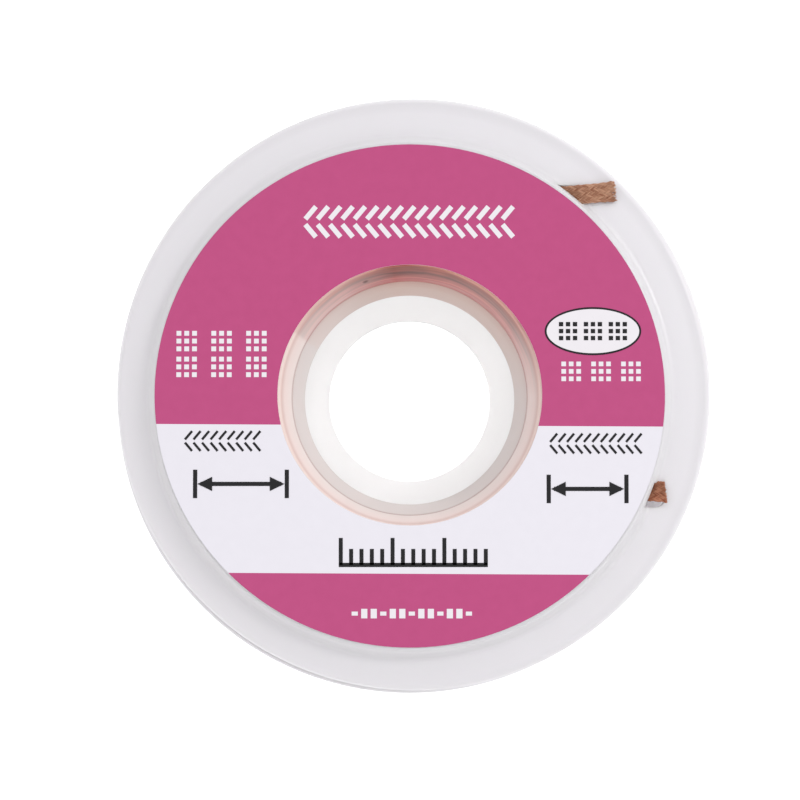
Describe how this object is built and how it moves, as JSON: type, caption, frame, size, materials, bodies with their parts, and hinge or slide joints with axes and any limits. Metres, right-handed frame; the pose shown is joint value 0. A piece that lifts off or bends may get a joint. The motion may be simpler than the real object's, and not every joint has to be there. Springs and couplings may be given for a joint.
{
  "type": "desoldering braid spool",
  "caption": "Small flat two-part milky plastic spool of flat copper desoldering braid, with a round printed label and a stepped open hub.",
  "frame": {"origin": "centre of the bore at the rear face, which is what the spool lies on", "axes": "+Z along the bore from the rear face to the label, +Y to the top of the label, +X to its right"},
  "size_m": [0.06, 0.06, 0.0102],
  "materials": {
    "milky_polypropylene": "moulded, milky and a little translucent",
    "copper_braid": "bare copper strands, plaited flat",
    "printed_label": "printed film, satin"
  },
  "bodies": {
    "root": {"front_flange": "milky_polypropylene", "rear_flange": "milky_polypropylene", "braid_coil": "copper_braid", "braid_tail": "copper_braid", "braid_start": "copper_braid", "label": "printed_label"}
  },
  "joints": []
}
